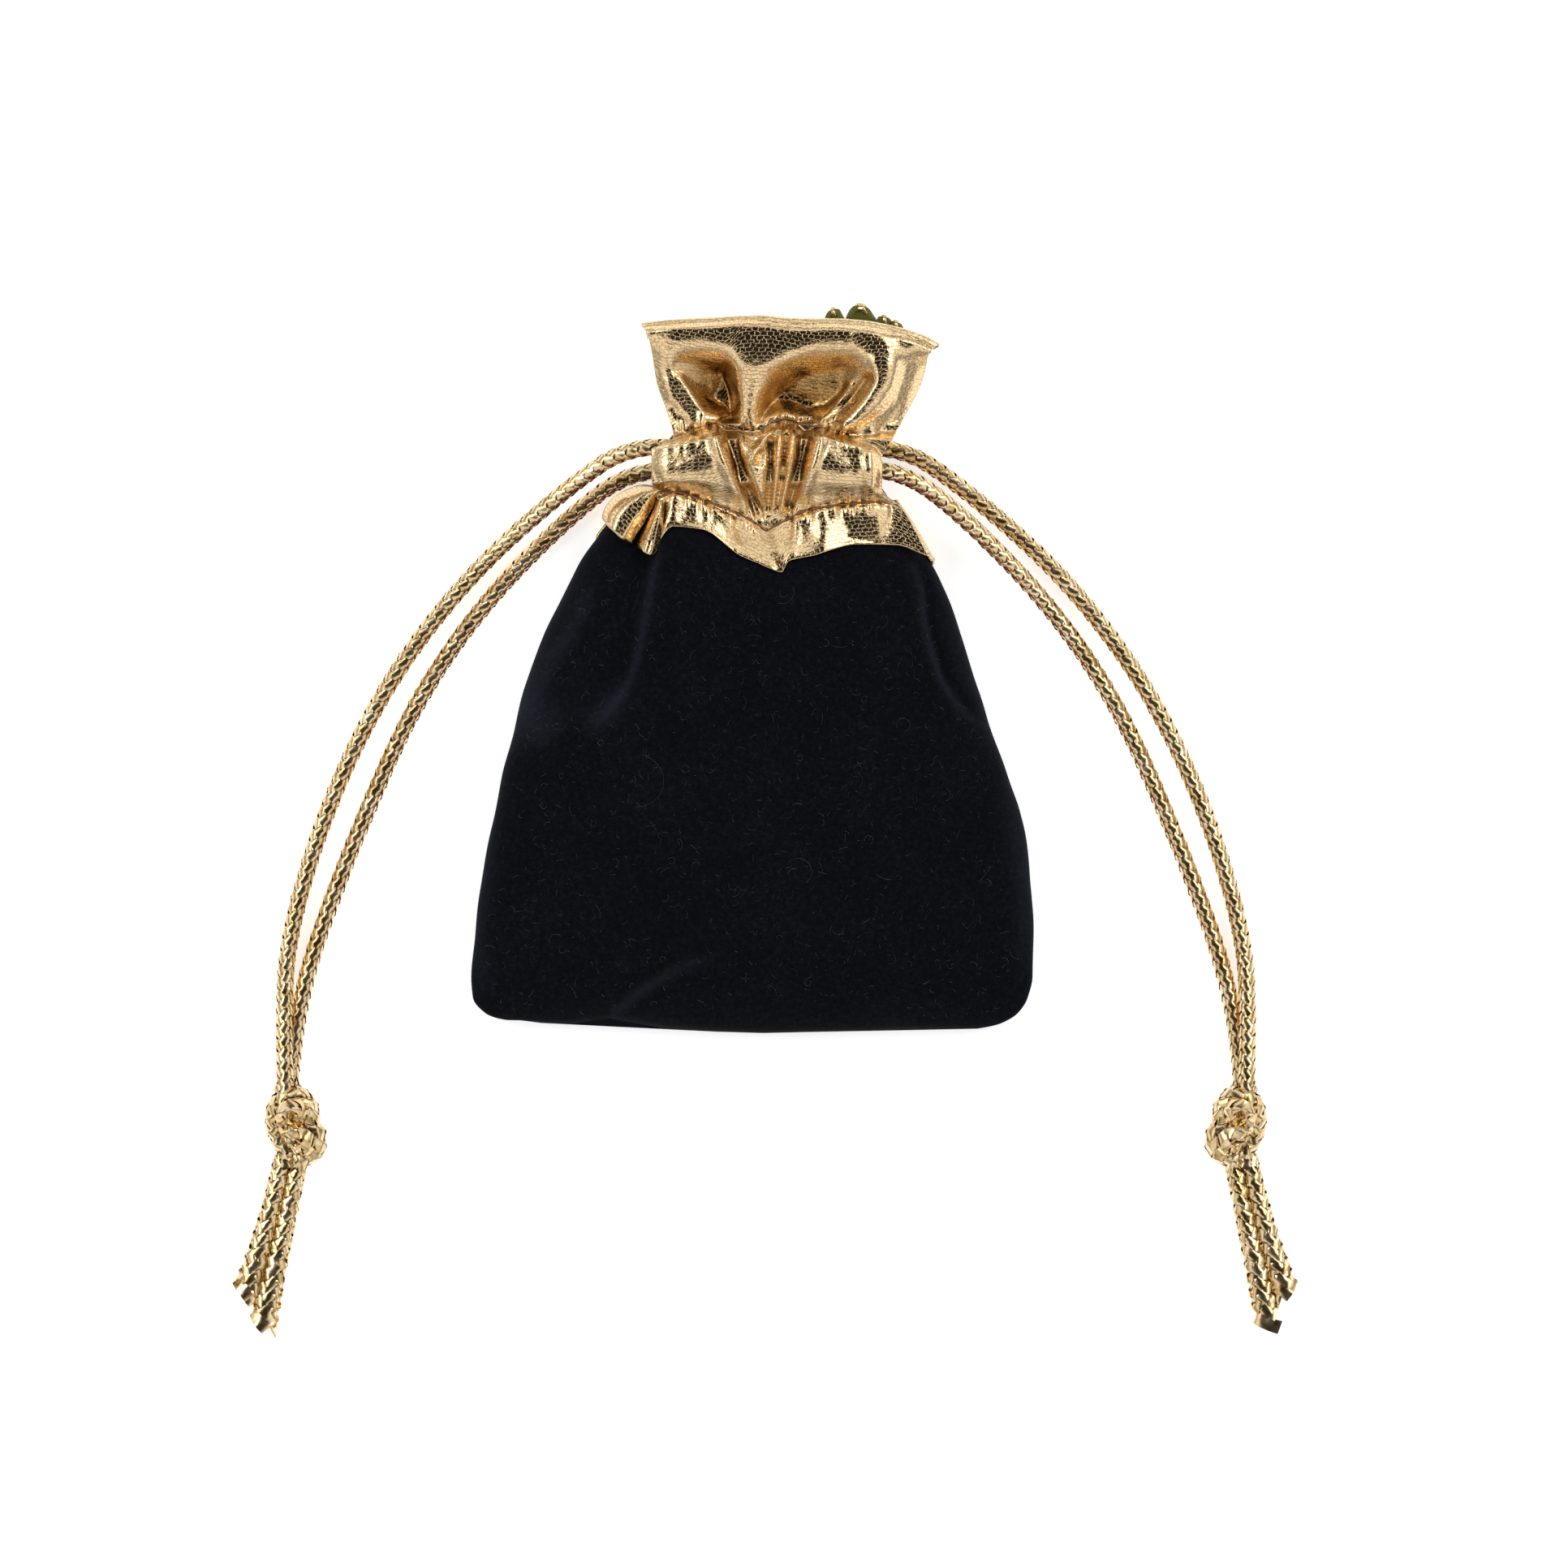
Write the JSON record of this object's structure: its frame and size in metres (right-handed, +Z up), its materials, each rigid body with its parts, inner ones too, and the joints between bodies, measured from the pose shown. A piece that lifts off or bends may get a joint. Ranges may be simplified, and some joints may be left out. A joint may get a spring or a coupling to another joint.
{
  "type": "drawstring pouch",
  "caption": "Small velvet drawstring pouch with a gathered gold collar and a knotted braided drawcord out of each side, for dice or jewellery.",
  "frame": {"origin": "under the middle of the bag without its free cords, on the surface that it lies on", "axes": "+Z up out of the front face, +Y towards the mouth, +X to the right as seen from above"},
  "size_m": [0.1452, 0.1386, 0.0135],
  "materials": {
    "black_velvet": "deep matte pile with a faint blue sheen",
    "gold_foil_knit": "metallic foil on a fine knit, crackled",
    "olive_lining": "matte inner side of the knit",
    "brown_thread": "sewing thread",
    "gold_braid": "glossy metallic film strips, braided",
    "red_core": "matte red core yarn"
  },
  "bodies": {
    "bag": {"velvet_front_panel": "black_velvet", "velvet_back_panel": "black_velvet", "left_seam_allowance": "black_velvet", "right_seam_allowance": "black_velvet", "bottom_seam_allowance": "black_velvet", "front_hem": "gold_foil_knit", "left_hem_pleat": "gold_foil_knit", "back_hem": "gold_foil_knit", "front_channel": "gold_foil_knit", "back_channel": "gold_foil_knit", "back_ruffle": "gold_foil_knit", "front_upper_stitching": "brown_thread", "front_lower_stitching": "brown_thread", "back_upper_stitching": "brown_thread", "back_lower_stitching": "brown_thread"},
    "mouth_front": {"front_ruffle": "gold_foil_knit"},
    "left_drawcord": {"left_cord_loop": "gold_braid", "left_outer_strand": "gold_braid", "left_inner_strand": "gold_braid", "left_knot": "gold_braid", "left_outer_tail": "gold_braid", "left_inner_tail": "gold_braid"},
    "right_drawcord": {"right_cord_loop": "gold_braid", "right_outer_strand": "gold_braid", "right_inner_strand": "gold_braid", "right_knot": "gold_braid", "right_outer_tail": "gold_braid", "right_inner_tail": "gold_braid"}
  },
  "joints": [
    {"name": "left_draw", "type": "slide", "parent": "bag", "child": "left_drawcord", "axis": [-1, 0, 0], "range_m": [0, 0.004]},
    {"name": "right_draw", "type": "slide", "parent": "bag", "child": "right_drawcord", "axis": [1, 0, 0], "range_m": [0, 0.004]},
    {"name": "mouth_open", "type": "hinge", "parent": "bag", "child": "mouth_front", "pos_m": [0, 0.03225, 0.0113], "axis": [1, 0, 0], "range_deg": [0, 45]}
  ]
}
